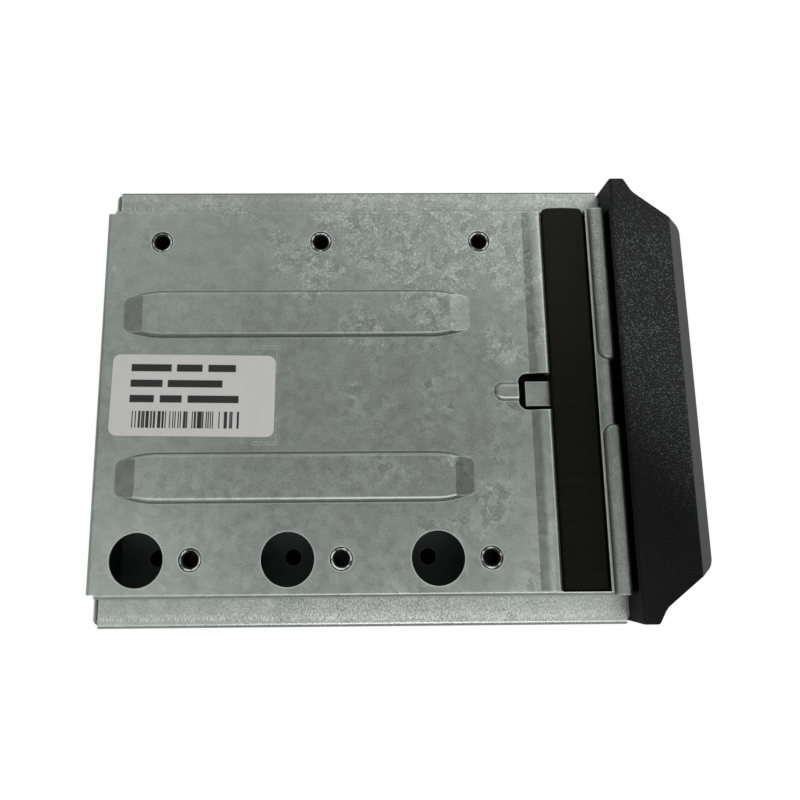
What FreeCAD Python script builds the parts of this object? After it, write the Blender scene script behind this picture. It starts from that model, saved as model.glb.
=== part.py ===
import FreeCAD, Part
import os
import re
import Sketcher

# A blank that fills an empty bay in a server enclosure, lying on its tray.
# X runs from the rear edge of the cover to the front bezel, Y across the blank and Z up from the tray.
# Every length is in millimetres, and every node is moved back by half the overall length at the end.

# Name, value and meaning of each driving size.
SIZES = (
    ("sheet_gauge", 1.0, "thickness of the galvanised sheet"),
    ("bend_inside", 0.2, "inside radius of every fold"),
    ("nest_gap", 0.1, "clearance between nested sheets and pressed shanks"),
    ("cover_length", 161.6, "rear edge of the plate to the front end of its ledges"),
    ("overall_width", 138.6, "width over the skirts"),
    ("ledge_width", 8.8, "step to the outside of the skirt"),
    ("plate_height", 37.0, "top of the plate above the tray's underside"),
    ("ledge_drop", 7.0, "step from the plate down to the ledges"),
    ("rear_flange", 5.0, "height of the plate's fold at the rear"),
    ("ledge_setback", 2.4, "rear edge of the plate to the rear end of the ledges"),
    ("skirt_depth", 12.0, "height of the skirts below the ledges' top"),
    ("tray_lead", 0.8, "front end of the ledges to the tray's front wall"),
    ("tray_corner", 2.0, "outside radius of the tray's upright corners"),
    ("window_length", 14.5, "window along X"),
    ("ridge_length", 6.6, "ramp and crest behind the window"),
    ("ridge_crest", 3.6, "crest along X"),
    ("crest_round", 2.2, "outside radius of the crest's fold at the window"),
    ("crest_blend", 4.0, "radius where the ramp meets the crest"),
    ("ridge_rise", 1.5, "height of the crest above the plate"),
    ("ridge_flange", 4.0, "how far the crest folds down below the plate's top"),
    ("lip_length", 5.1, "lip in front of the window along X"),
    ("lip_setback", 0.8, "front end of the ledges back to the lip's front"),
    ("lip_flange", 6.0, "height of the lip's fold at the front"),
    ("bump_setback", 0.7, "window to the rear side of the bumps"),
    ("bump_length", 5.4, "bumps along X"),
    ("bump_rise", 1.4, "height of the bumps above the plate"),
    ("bump_round", 1.2, "radius along the bumps' top"),
    ("bump_corner", 3.6, "radius of the bumps' inner ends at the window"),
    ("bump_tip", 1.4, "radius of the bumps' inner ends at the front"),
    ("far_bump_end", 10.2, "centre line to the inner end of the far bump"),
    ("near_bump_end", 9.8, "centre line to the inner end of the near bump"),
    ("notch_length", 10.4, "notch along X behind the window"),
    ("notch_width", 11.5, "notch along Y"),
    ("notch_corner", 3.0, "radius of the notch's corners"),
    ("notch_offset", 0.3, "centre line to the middle of the notch"),
    ("bead_length", 7.8, "short bead behind the notch"),
    ("bead_width", 6.2, "short bead along Y"),
    ("bead_rise", 1.0, "height of the short bead"),
    ("bead_round", 1.7, "radius along the bead's top"),
    ("bead_corner", 2.9, "radius of the bead's rear end"),
    ("rib_rear", 6.8, "rear edge of the plate to the long ribs"),
    ("rib_front_gap", 18.1, "ridge back to the long ribs"),
    ("rib_width", 15.3, "long ribs along Y"),
    ("rib_spacing", 51.0, "between the middles of the long ribs"),
    ("rib_rise", 1.8, "height of the long ribs"),
    ("rib_ramp", 6.3, "ramp at each end of a long rib"),
    ("rib_end_width", 10.4, "width of a long rib at the foot of its ramp"),
    ("rib_narrowing", 9.0, "stretch over which a long rib narrows"),
    ("rib_round", 1.7, "radius along the ribs' top"),
    ("rib_blend", 30.0, "radius where a rib starts to narrow"),
    ("rib_corner", 2.5, "radius of the ribs' end corners"),
    ("row_inset", 11.0, "folds of the plate in to the rows of standoffs"),
    ("row_front_gap", 20.8, "window back to the last standoff of each row"),
    ("far_row_rear", 17.9, "rear edge of the plate to the far row's first standoff"),
    ("near_row_rear", 30.4, "rear edge of the plate to the near row's first standoff"),
    ("standoff_diameter", 6.35, "outside of a standoff"),
    ("standoff_gap", 0.3, "clearance around a standoff in the plate"),
    ("standoff_sink", 0.15, "end of a standoff below the plate's top"),
    ("bore_diameter", 4.4, "threaded bore of a standoff"),
    ("bore_depth", 12.0, "depth of the threaded bore"),
    ("bore_chamfer", 0.5, "chamfer at the mouth of the bore"),
    ("shank_diameter", 5.4, "shank pressed into the tray's floor"),
    ("tool_rear", 14.4, "rear edge of the plate to the first tool hole"),
    ("tool_diameter", 16.0, "tool holes in the plate"),
    ("screw_diameter", 5.3, "screw holes in the tray's floor"),
    ("label_length", 50.8, "paper label along X"),
    ("label_width", 25.4, "paper label along Y"),
    ("label_corner", 2.5, "radius of the label's corners"),
    ("label_thick", 0.15, "thickness of the paper"),
    ("label_along", 29.6, "rear edge of the plate to the label's middle"),
    ("label_across", -0.3, "centre line to the label's middle"),
    ("label_skew", -0.9, "turn of the label in degrees"),
    ("mark_along", 56.0, "rear edge of the plate to the label's corner marks"),
    ("mark_height", 30.3, "between the two corner marks"),
    ("mark_arm", 8.0, "length of a mark's arm"),
    ("mark_stroke", 0.4, "width of a mark's groove"),
    ("mark_depth", 0.2, "depth of a mark's groove"),
    ("tongue_reach", 7.3, "window to the end of the bracket's tongue"),
    ("tongue_width", 7.8, "bracket's tongue along Y"),
    ("tongue_drop", 4.5, "plate's top down to the bracket's web"),
    ("bracket_gap", 0.7, "window's edge to the bracket, along X"),
    ("bracket_foot", 5.0, "feet of the bracket along X"),
    ("end_gap", 0.3, "clearance at the ends of the bracket and the gasket"),
    ("gasket_gap", 0.4, "window's edge to the gasket, along X"),
    ("gasket_drop", 0.6, "plate's top down to the gasket's top"),
    ("gasket_overhang", 1.0, "how far the gasket runs past the far fold"),
    ("gasket_corner", 2.0, "radius of the gasket's far corners"),
    ("gasket_round", 0.8, "radius along the gasket's top"),
    ("bezel_depth", 22.2, "bezel along X"),
    ("bezel_rise", 7.5, "top of the bezel above the plate"),
    ("bezel_inset", 1.0, "outside of the skirts in to the bezel's tips"),
    ("bezel_wall", 3.2, "wall of the bezel"),
    ("mouth_inset", 9.0, "tips in to the ends of the opening in the bezel's rear"),
    ("tip_length", 4.4, "flat of a tip along X"),
    ("tip_round", 1.0, "radius of a tip's corner"),
    ("waist_along", 7.0, "rear of the bezel to the hollow of its end"),
    ("waist_inset", 4.5, "tips in to the hollows of the bezel's ends"),
    ("waist_round", 6.0, "radius of the hollows"),
    ("face_inset", 16.2, "tips in to the ends of the front face"),
    ("face_round", 4.0, "radius from the front face to the ends"),
    ("bevel_run", 4.0, "bevel of the long front edges along X"),
    ("bevel_drop", 3.0, "bevel of the long front edges along Z"),
    ("rim_round", 0.9, "radius of the bezel's rear rim"),
    ("hook_inset", 17.5, "tips in to the middles of the hooks"),
    ("hook_width", 6.4, "hooks along Y"),
    ("hook_thick", 2.0, "thickness of a hook's arm"),
    ("hook_drop", 6.0, "ledges' top down to the underside of the hooks"),
    ("hook_reach", 3.4, "how far a hook reaches behind the tray's front wall"),
    ("hook_root", 6.6, "front face of the bezel back to the root of a hook"),
    ("barb_rise", 1.2, "barb on a hook"),
    ("barb_gap", 0.2, "barb to the tray's front wall"),
    ("slot_gap", 0.4, "clearance around a hook in its slot"),
    ("rivet_diameter", 4.0, "shank of a skirt rivet"),
    ("rivet_head", 6.4, "head of a skirt rivet inside the tray"),
    ("rivet_head_thick", 0.9, "thickness of a skirt rivet's head"),
    ("rivet_rear", 30.0, "rear edge of the plate to the first rivet"),
    ("rivet_front_gap", 29.6, "front end of the ledges back to the last rivet"),
    ("rivet_drop", 6.0, "ledges' top down to the rivets"),
)

# Standoffs and tool holes in a row, and rivets along a side.
ROW_COUNT = 3

# Sizes that follow from the driving ones.
DERIVED = (
    ("half_width", "overall_width / 2"),
    ("half_plate", "half_width - ledge_width"),
    ("ledge_top", "plate_height - ledge_drop"),
    ("plate_under", "plate_height - sheet_gauge"),
    ("ledge_under", "ledge_top - sheet_gauge"),
    ("skirt_bottom", "ledge_top - skirt_depth"),
    ("bend_outside", "bend_inside + sheet_gauge"),
    ("flat_half", "half_plate - bend_outside"),
    ("wall_half", "half_plate - sheet_gauge"),
    ("tray_setback", "sheet_gauge + nest_gap"),
    ("lip_front", "cover_length - lip_setback"),
    ("window_front", "lip_front - lip_length"),
    ("window_rear", "window_front - window_length"),
    ("ridge_rear", "window_rear - ridge_length"),
    ("crest_top", "plate_height + ridge_rise"),
    ("bump_rear", "window_front + bump_setback"),
    ("bump_front", "bump_rear + bump_length"),
    ("bump_top", "plate_height + bump_rise"),
    ("flange_bottom", "plate_height - lip_flange"),
    ("notch_rear", "window_rear - notch_length"),
    ("bead_rear", "notch_rear - bead_length"),
    ("rib_front", "ridge_rear - rib_front_gap"),
    ("fold_bed", "bend_outside + sheet_gauge"),
    ("tray_front", "cover_length + tray_lead"),
    ("tray_half", "half_width - sheet_gauge - nest_gap"),
    ("tray_inner", "tray_half - sheet_gauge"),
    ("wall_top", "ledge_under - bend_inside"),
    ("rear_wall_top", "plate_under - bend_inside"),
    ("row_half", "half_plate - row_inset"),
    ("row_front", "window_rear - row_front_gap"),
    ("far_row_pitch", "(row_front - far_row_rear) / %d" % (ROW_COUNT - 1)),
    ("near_row_pitch", "(row_front - near_row_rear) / %d" % (ROW_COUNT - 1)),
    ("rivet_pitch", "(cover_length - rivet_front_gap - rivet_rear) / %d" % (ROW_COUNT - 1)),
    ("standoff_top", "plate_height - standoff_sink"),
    ("web_top", "plate_height - tongue_drop"),
    ("web_rear", "window_rear + bracket_gap"),
    ("web_front", "window_front - bracket_gap"),
    ("strip_near", "-wall_half + end_gap"),
    ("strip_far", "half_plate + gasket_overhang"),
    ("bracket_far", "wall_half - end_gap"),
    ("gasket_top", "plate_height - gasket_drop"),
    ("bezel_front", "tray_front + bezel_depth"),
    ("bezel_top", "plate_height + bezel_rise"),
    ("tip_half", "half_width - bezel_inset"),
    ("waist_half", "tip_half - waist_inset"),
    ("face_half", "tip_half - face_inset"),
    ("hook_half", "tip_half - hook_inset"),
    ("hook_height", "ledge_top - hook_drop"),
    ("hook_top", "hook_height + hook_thick"),
    ("rivet_height", "ledge_top - rivet_drop"),
    ("overall_length", "bezel_front"),
)

# Extra length of a cutter beyond the faces that it cuts.
OVERCUT = "2"

# Distance within which two places count as the same.
NEAR = 0.01

# Radius of the regular polygon from which a sketch is drawn to its sizes.
DRAFT_RADIUS = 10.0

doc = FreeCAD.newDocument("blade_blank_filler")
sheet = doc.addObject("Spreadsheet::Sheet", "Sizes")

for row, (name, value, meaning) in enumerate(SIZES, start=1):
    sheet.set("A%d" % row, str(value))
    sheet.setAlias("A%d" % row, name)
    sheet.set("B%d" % row, meaning)
for row, (name, formula) in enumerate(DERIVED, start=1):
    sheet.set("D%d" % row, "=" + formula)
    sheet.setAlias("D%d" % row, name)
doc.recompute()

NAMES = [entry[0] for entry in SIZES + DERIVED]
NAMED = re.compile(r"\b(" + "|".join(NAMES) + r")\b")


def bound(text):
    """Point every named size in an expression at the sheet."""
    return NAMED.sub(r"Sizes.\1", text)


def size(name):
    """Give a named size as a number."""
    return float(sheet.get(name))


def bind(item, **expressions):
    """Tie properties of an object to expressions on the sheet."""
    for prop, text in expressions.items():
        item.setExpression(prop, bound(text))


def place(item, x="0", y="0", z="0"):
    """Tie the position of an object to the sheet."""
    for axis, text in (("x", x), ("y", y), ("z", z)):
        item.setExpression("Placement.Base." + axis, bound(text))


def outline(body, plane, points, level):
    """Sketch a closed outline with every corner tied to the sheet."""
    sketch = body.newObject("Sketcher::SketchObject", body.Name + "_outline")
    support = [part for part in body.Origin.OriginFeatures if part.Role == plane][0]
    sketch.AttachmentSupport = (support, "")
    sketch.MapMode = "FlatFace"
    sketch.setExpression("AttachmentOffset.Base.z", bound(level))
    count = len(points)
    start, upright = FreeCAD.Vector(DRAFT_RADIUS, 0, 0), FreeCAD.Vector(0, 0, 1)
    turns = [FreeCAD.Rotation(upright, 360.0 * step / count) for step in range(count)]
    corners = [turn.multVec(start) for turn in turns]
    for step in range(count):
        sketch.addGeometry(Part.LineSegment(corners[step], corners[(step + 1) % count]))
    for step in range(count):
        following = (step + 1) % count
        sketch.addConstraint(Sketcher.Constraint("Coincident", step, 2, following, 1))
    for step, (across, up) in enumerate(points):
        for kind, text in (("DistanceX", across), ("DistanceY", up)):
            spot = corners[step].x if kind == "DistanceX" else corners[step].y
            number = sketch.addConstraint(Sketcher.Constraint(kind, -1, 1, step, 1, spot))
            sketch.setExpression("Constraints[%d]" % number, bound(text))
    return sketch


def prism(name, plane, points, start, end):
    """Pad an outline square to its plane, from start to end."""
    body = doc.addObject("PartDesign::Body", name)
    level = "-(%s)" % end if plane == "XZ_Plane" else start
    sketch = outline(body, plane, points, level)
    pad = body.newObject("PartDesign::Pad", name + "_pad")
    pad.Profile = sketch
    bind(pad, Length="(%s) - (%s)" % (end, start))
    return body


def plate(name, x0, x1, y0, y1, z0, z1):
    """Pad a rectangle given by its limits along the three axes."""
    corners = [(x0, y0), (x1, y0), (x1, y1), (x0, y1)]
    return prism(name, "XY_Plane", corners, z0, z1)


def block(name, x0, x1, y0, y1, z0, z1):
    """Make a plain box between two limits on each axis."""
    box = doc.addObject("Part::Box", name)
    bind(box, Length="(%s) - (%s)" % (x1, x0), Width="(%s) - (%s)" % (y1, y0))
    bind(box, Height="(%s) - (%s)" % (z1, z0))
    place(box, x0, y0, z0)
    return box


def post(name, radius, x, y, z0, z1):
    """Make an upright cylinder."""
    cylinder = doc.addObject("Part::Cylinder", name)
    bind(cylinder, Radius=radius, Height="(%s) - (%s)" % (z1, z0))
    place(cylinder, x, y, z0)
    return cylinder


def crossbar(name, radius, x, z, y0, y1):
    """Make a cylinder along Y."""
    cylinder = doc.addObject("Part::Cylinder", name)
    bind(cylinder, Radius=radius, Height="(%s) - (%s)" % (y1, y0))
    turn = FreeCAD.Rotation(FreeCAD.Vector(1, 0, 0), -90)
    cylinder.Placement = FreeCAD.Placement(FreeCAD.Vector(0, 0, 0), turn)
    place(cylinder, x, y0, z)
    return cylinder


def taper(name, radius0, radius1, x, y, z0, z1):
    """Make an upright cone from radius0 at z0 to radius1 at z1."""
    cone = doc.addObject("Part::Cone", name)
    bind(cone, Radius1=radius0, Radius2=radius1, Height="(%s) - (%s)" % (z1, z0))
    place(cone, x, y, z0)
    return cone


def joined(name, pieces):
    """Fuse pieces into one."""
    if len(pieces) == 1:
        return pieces[0]
    fused = doc.addObject("Part::MultiFuse", name)
    fused.Shapes = pieces
    fused.Refine = True
    return fused


def cut(name, base, tools):
    """Take the tools away from the base."""
    result = doc.addObject("Part::Cut", name)
    result.Base = base
    result.Tool = joined(name + "_tools", tools)
    result.Refine = True
    return result


def rounded(body, name, radius, chosen):
    """Round the chosen edges of a body."""
    doc.recompute()
    tip = body.Tip
    edges = ["Edge%d" % (i + 1) for i, edge in enumerate(tip.Shape.Edges) if chosen(edge)]
    fillet = body.newObject("PartDesign::Fillet", body.Name + "_" + name)
    fillet.Base = (tip, edges)
    bind(fillet, Radius=radius)
    body.Tip = fillet


def along(axis, places):
    """Choose straight edges along an axis that pass the given places."""

    def chosen(edge):
        box = edge.BoundBox
        spans = {"X": box.XLength, "Y": box.YLength, "Z": box.ZLength}
        middles = {"X": box.Center.x, "Y": box.Center.y, "Z": box.Center.z}
        others = [letter for letter in "XYZ" if letter != axis]
        if spans[axis] < NEAR or any(spans[letter] > NEAR for letter in others):
            return False
        spot = [middles[letter] for letter in others]
        return any(all(abs(a - b) < NEAR for a, b in zip(spot, wanted)) for wanted in places)

    return chosen


def at_height(height):
    """Choose the edges that lie flat at a height."""

    def chosen(edge):
        box = edge.BoundBox
        return abs(box.ZMin - height) < NEAR and abs(box.ZMax - height) < NEAR

    return chosen


def both_sides(*places):
    """Mirror places across the centre line, which is the first coordinate."""
    return [(side * across, up) for across, up in places for side in (1, -1)]


def cover_fold():
    """Plate, steps, ledges and skirts, folded across the blank."""
    upper = [
        ("-half_width", "skirt_bottom"), ("-half_width", "ledge_top"),
        ("-half_plate", "ledge_top"), ("-half_plate", "plate_height"),
        ("half_plate", "plate_height"), ("half_plate", "ledge_top"),
        ("half_width", "ledge_top"), ("half_width", "skirt_bottom"),
    ]
    lower = [
        ("half_width - sheet_gauge", "skirt_bottom"), ("half_width - sheet_gauge", "ledge_under"),
        ("wall_half", "ledge_under"), ("wall_half", "plate_under"),
        ("-wall_half", "plate_under"), ("-wall_half", "ledge_under"),
        ("-(half_width - sheet_gauge)", "ledge_under"), ("-(half_width - sheet_gauge)", "skirt_bottom"),
    ]
    body = prism("cover_fold", "YZ_Plane", upper + lower, "0", "cover_length")
    outer = both_sides(
        (size("half_width"), size("ledge_top")),
        (size("half_plate"), size("plate_height")),
        (size("wall_half"), size("ledge_under")),
    )
    inner = both_sides(
        (size("half_width") - size("sheet_gauge"), size("ledge_under")),
        (size("wall_half"), size("plate_under")),
        (size("half_plate"), size("ledge_top")),
    )
    rounded(body, "outer_bends", "bend_outside", along("X", outer))
    rounded(body, "inner_bends", "bend_inside", along("X", inner))
    return body


def ridge():
    """Ramp up to a crest behind the window, folded down at the window's edge."""
    points = [
        ("ridge_rear", "plate_under"), ("ridge_rear", "plate_height"),
        ("window_rear - ridge_crest", "crest_top"), ("window_rear", "crest_top"),
        ("window_rear", "plate_height - ridge_flange"),
        ("window_rear - sheet_gauge", "plate_height - ridge_flange"),
        ("window_rear - sheet_gauge", "crest_top - sheet_gauge"),
        ("window_rear - ridge_crest", "crest_top - sheet_gauge"),
    ]
    body = prism("ridge", "XZ_Plane", points, "-flat_half", "flat_half")
    edge, shoulder = size("window_rear"), size("window_rear") - size("ridge_crest")
    gauge, top = size("sheet_gauge"), size("crest_top")
    rounded(body, "fold", "crest_round", along("Y", [(edge, top)]))
    rounded(body, "fold_inside", "crest_round - sheet_gauge", along("Y", [(edge - gauge, top - gauge)]))
    rounded(body, "blend", "crest_blend", along("Y", [(shoulder, top)]))
    rounded(body, "blend_inside", "crest_blend - sheet_gauge", along("Y", [(shoulder, top - gauge)]))
    return body


def down_fold(name, root, face, inner_face, bottom):
    """Strip of the plate from root to face, folded down at its face to the bottom."""
    points = [
        (root, "plate_under"), (root, "plate_height"), (face[0], "plate_height"), (face[0], bottom),
        (inner_face[0], bottom), (inner_face[0], "plate_under"),
    ]
    body = prism(name, "XZ_Plane", points, "-flat_half", "flat_half")
    rounded(body, "outer_bend", "bend_outside", along("Y", [(face[1], size("plate_height"))]))
    rounded(body, "inner_bend", "bend_inside", along("Y", [(inner_face[1], size("plate_under"))]))
    return body


def lip():
    """Strip in front of the window, folded down at the front."""
    inner = size("lip_front") - size("sheet_gauge")
    return down_fold(
        "lip", "window_front", ("lip_front", size("lip_front")), ("lip_front - sheet_gauge", inner),
        "flange_bottom")


def rear_fold():
    """Rear strip of the plate, folded down behind the tray's rear wall."""
    return down_fold(
        "rear_fold", "fold_bed", ("0", 0.0), ("sheet_gauge", size("sheet_gauge")),
        "plate_height - rear_flange")


def bump_form(name, inner_end, outer_end, side, inset, drop):
    """Block with a rounded inner end, drawn in by inset and lowered by drop."""
    inner = "%s + %s" % (inner_end, inset)
    ends = [inner, outer_end] if side > 0 else ["-" + outer_end, "-(%s)" % inner]
    body = plate(
        name, "bump_rear + " + inset, "bump_front - " + inset, ends[0], ends[1], "flange_bottom - " + drop,
        "bump_top - " + inset)
    thick = 0.0 if inset == "0" else size(inset)
    inner_y = side * (size(inner_end) + thick)
    rounded(body, "end", "bump_corner - " + inset, along("Z", [(size("bump_rear") + thick, inner_y)]))
    rounded(body, "tip", "bump_tip - " + inset, along("Z", [(size("bump_front") - thick, inner_y)]))
    return body


def bump(name, inner_end, side):
    """Raised bump of the lip and the hollow under it."""
    body = bump_form(name, inner_end, "half_plate", side, "0", "0")
    top = at_height(size("bump_top"))
    outer_y = side * size("half_plate")

    def rim(edge):
        box = edge.BoundBox
        return top(edge) and not (abs(box.YMin - outer_y) < NEAR and abs(box.YMax - outer_y) < NEAR)

    rounded(body, "top", "bump_round", rim)
    return body, bump_form(name + "_hollow", inner_end, "wall_half", side, "sheet_gauge", OVERCUT)


def rib_form(name, middle, inset, drop):
    """Long narrow form with ramped ends, drawn in by inset and lowered by drop."""
    half = "(rib_width / 2 - %s)" % inset
    tip = "(rib_end_width / 2 - %s)" % inset
    foot = "plate_under - %s" % drop
    top = "(plate_height + rib_rise - %s)" % drop
    low = "(plate_height - %s)" % drop
    near_end, far_end = "rib_rear", "rib_front"
    shoulders = ["(rib_rear + rib_narrowing)", "(rib_front - rib_narrowing)"]
    plan = [
        (near_end, "%s - %s" % (middle, tip)), (shoulders[0], "%s - %s" % (middle, half)),
        (shoulders[1], "%s - %s" % (middle, half)), (far_end, "%s - %s" % (middle, tip)),
        (far_end, "%s + %s" % (middle, tip)), (shoulders[1], "%s + %s" % (middle, half)),
        (shoulders[0], "%s + %s" % (middle, half)), (near_end, "%s + %s" % (middle, tip)),
    ]
    body = prism(name, "XY_Plane", plan, foot, top)
    doc.recompute()
    ends = (size("rib_rear"), size("rib_front"))

    def is_upright(edge):
        box = edge.BoundBox
        return box.XLength < NEAR and box.YLength < NEAR

    def at_end(edge):
        return is_upright(edge) and min(abs(edge.BoundBox.Center.x - end) for end in ends) < NEAR

    def at_shoulder(edge):
        return is_upright(edge) and not at_end(edge)

    rounded(body, "shoulders", "rib_blend", at_shoulder)
    rounded(body, "ends", "rib_corner", at_end)
    ramps = []
    for end, inward, label in (("rib_rear", "+", "rear"), ("rib_front", "-", "front")):
        outward = "-" if inward == "+" else "+"
        points = [
            (end, low), ("%s %s rib_ramp" % (end, inward), top),
            ("%s %s rib_ramp" % (end, inward), "%s + %s" % (top, OVERCUT)),
            ("%s %s %s" % (end, outward, OVERCUT), "%s + %s" % (top, OVERCUT)),
            ("%s %s %s" % (end, outward, OVERCUT), low),
        ]
        limits = ["%s - rib_width" % middle, "%s + rib_width" % middle]
        ramps.append(prism(name + "_" + label + "_ramp", "XZ_Plane", points, limits[0], limits[1]))
    return body, ramps


def rib(name, middle):
    """Long raised rib and the hollow under it."""
    body, ramps = rib_form(name, middle, "0", "0")
    rounded(body, "top", "rib_round", at_height(size("plate_height") + size("rib_rise")))
    raised = cut(name + "_raised", body, ramps)
    body, ramps = rib_form(name + "_hollow", middle, "sheet_gauge", "sheet_gauge")
    return raised, cut(name + "_hollow_form", body, ramps)


def bead():
    """Short bead that runs into the notch, and the hollow under it."""
    half = "(bead_width / 2)"
    body = plate(
        "bead", "bead_rear", "notch_rear + " + OVERCUT, "notch_offset - " + half, "notch_offset + " + half,
        "plate_under", "plate_height + bead_rise")
    across = [size("notch_offset") + side * size("bead_width") / 2 for side in (1, -1)]
    rounded(body, "rear", "bead_corner", along("Z", [(size("bead_rear"), y) for y in across]))
    rounded(body, "top", "bead_round", at_height(size("plate_height") + size("bead_rise")))
    half = "(bead_width / 2 - sheet_gauge)"
    hollow = block(
        "bead_hollow", "bead_rear + sheet_gauge", "notch_rear + " + OVERCUT, "notch_offset - " + half,
        "notch_offset + " + half, "plate_under - " + OVERCUT, "plate_height + bead_rise - sheet_gauge")
    return body, hollow


def window_cuts():
    """Space of the window, with the beds for the ridge, the lip and the rear fold."""
    over, under = "plate_height + " + OVERCUT, "plate_under - " + OVERCUT
    ridge_bed = block("ridge_bed", "ridge_rear", "window_rear", "-flat_half", "flat_half", under, over)
    near = block("window_near", "window_rear", "window_front", "-wall_half", OVERCUT, under, over)
    far = block(
        "window_far", "window_rear", "window_front", "0", "half_plate + " + OVERCUT, "web_top - end_gap", over)
    lip_bed = block(
        "lip_bed", "window_front + sheet_gauge", "cover_length + " + OVERCUT, "-flat_half", "flat_half",
        under, over)
    front = block(
        "front_trim", "lip_front", "cover_length + " + OVERCUT, "-half_plate - bend_inside",
        "half_plate + bend_inside", "ledge_top", over)
    rear_bed = block("rear_bed", "-" + OVERCUT, "fold_bed", "-flat_half", "flat_half", under, over)
    return [ridge_bed, near, far, lip_bed, front, rear_bed]


def rear_relief():
    """Corners at the rear where the long folds and the ledges are cut back."""
    cuts = []
    for side, y0, y1 in (("far", "flat_half", "half_width + " + OVERCUT),
                         ("near", "-half_width - " + OVERCUT, "-flat_half")):
        cuts.append(block(
            "relief_" + side, "-" + OVERCUT, "ledge_setback", y0, y1, "skirt_bottom - " + OVERCUT,
            "plate_height + " + OVERCUT))
    return cuts


def notch():
    """Notch that opens into the window over the bracket's tongue."""
    half = "(notch_width / 2)"
    body = plate(
        "notch", "notch_rear", "window_rear + " + OVERCUT, "notch_offset - " + half, "notch_offset + " + half,
        "plate_height - tongue_drop", "crest_top + " + OVERCUT)
    across = [size("notch_offset") + side * size("notch_width") / 2 for side in (1, -1)]
    rounded(body, "corners", "notch_corner", along("Z", [(size("notch_rear"), y) for y in across]))
    return body


def standoff_places():
    """X and Y of the six standoffs."""
    far = [("far_row_rear + %d * far_row_pitch" % i, "row_half") for i in range(ROW_COUNT)]
    near = [("near_row_rear + %d * near_row_pitch" % i, "-row_half") for i in range(ROW_COUNT)]
    return far + near


def tool_places():
    """X and Y of the three tool holes and of the screw holes below them."""
    return [("tool_rear + %d * near_row_pitch" % i, "-row_half") for i in range(ROW_COUNT)]


def rivet_places():
    """X of the rivets of one side."""
    return ["rivet_rear + %d * rivet_pitch" % i for i in range(ROW_COUNT)]


def plate_holes():
    """Clear holes over the standoffs, and the tool holes."""
    holes = []
    under, over = "plate_under - " + OVERCUT, "plate_height + " + OVERCUT
    for i, (x, y) in enumerate(standoff_places()):
        radius = "standoff_diameter / 2 + standoff_gap"
        holes.append(post("standoff_hole_%d" % i, radius, x, y, under, over))
    for i, (x, y) in enumerate(tool_places()):
        holes.append(post("tool_hole_%d" % i, "tool_diameter / 2", x, y, under, over))
    return holes


def rivet_holes(owner):
    """Holes across both long walls for the rivets."""
    holes = []
    for i, x in enumerate(rivet_places()):
        radius = "rivet_diameter / 2 + nest_gap"
        inner, reach = "(tray_inner - %s)" % OVERCUT, "(half_width + %s)" % OVERCUT
        for side, y0, y1 in (("far", inner, reach), ("near", "-" + reach, "-" + inner)):
            holes.append(crossbar("%s_rivet_hole_%s_%d" % (owner, side, i), radius, x, "rivet_height", y0, y1))
    return holes


def corner_marks():
    """Two engraved corner marks in front of the label."""
    grooves = []
    bottom, over = "plate_height - mark_depth", "plate_height + " + OVERCUT
    far, near = "label_across + mark_height / 2", "label_across - mark_height / 2"
    spans = (
        ("far", far + " - mark_stroke", far, far + " - mark_arm", far),
        ("near", near, near + " + mark_stroke", near, near + " + mark_arm"),
    )
    for side, stroke0, stroke1, arm0, arm1 in spans:
        grooves.append(block(
            "mark_along_" + side, "mark_along - mark_arm", "mark_along", stroke0, stroke1, bottom, over))
        grooves.append(block(
            "mark_across_" + side, "mark_along - mark_stroke", "mark_along", arm0, arm1, bottom, over))
    return grooves


def side_cover():
    """Folded and embossed upper sheet."""
    far_bump, far_hollow = bump("far_bump", "far_bump_end", 1)
    near_bump, near_hollow = bump("near_bump", "near_bump_end", -1)
    far_rib, far_rib_hollow = rib("far_rib", "rib_spacing / 2")
    near_rib, near_rib_hollow = rib("near_rib", "-rib_spacing / 2")
    short_bead, bead_hollow = bead()
    folded = cut("cover_blank", cover_fold(), window_cuts() + rear_relief())
    raised = [ridge(), lip(), rear_fold(), far_bump, near_bump, far_rib, near_rib, short_bead]
    formed = joined("cover_formed", [folded] + raised)
    hollows = [far_hollow, near_hollow, far_rib_hollow, near_rib_hollow, bead_hollow]
    openings = [notch()] + plate_holes() + rivet_holes("cover") + corner_marks()
    return cut("side_cover", formed, hollows + openings)


def tray_block(name, x0, x1, half, z0, z1, corner, bend):
    """Rounded block for the outside or the inside of the tray."""
    body = plate(name, x0[0], x1[0], "-" + half, half, z0[0], z1)
    ends = [(x, side * size(half)) for x in (x0[1], x1[1]) for side in (1, -1)]
    rounded(body, "corners", corner, along("Z", ends))
    rounded(body, "bends", bend, at_height(z0[1]))
    return body


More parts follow.
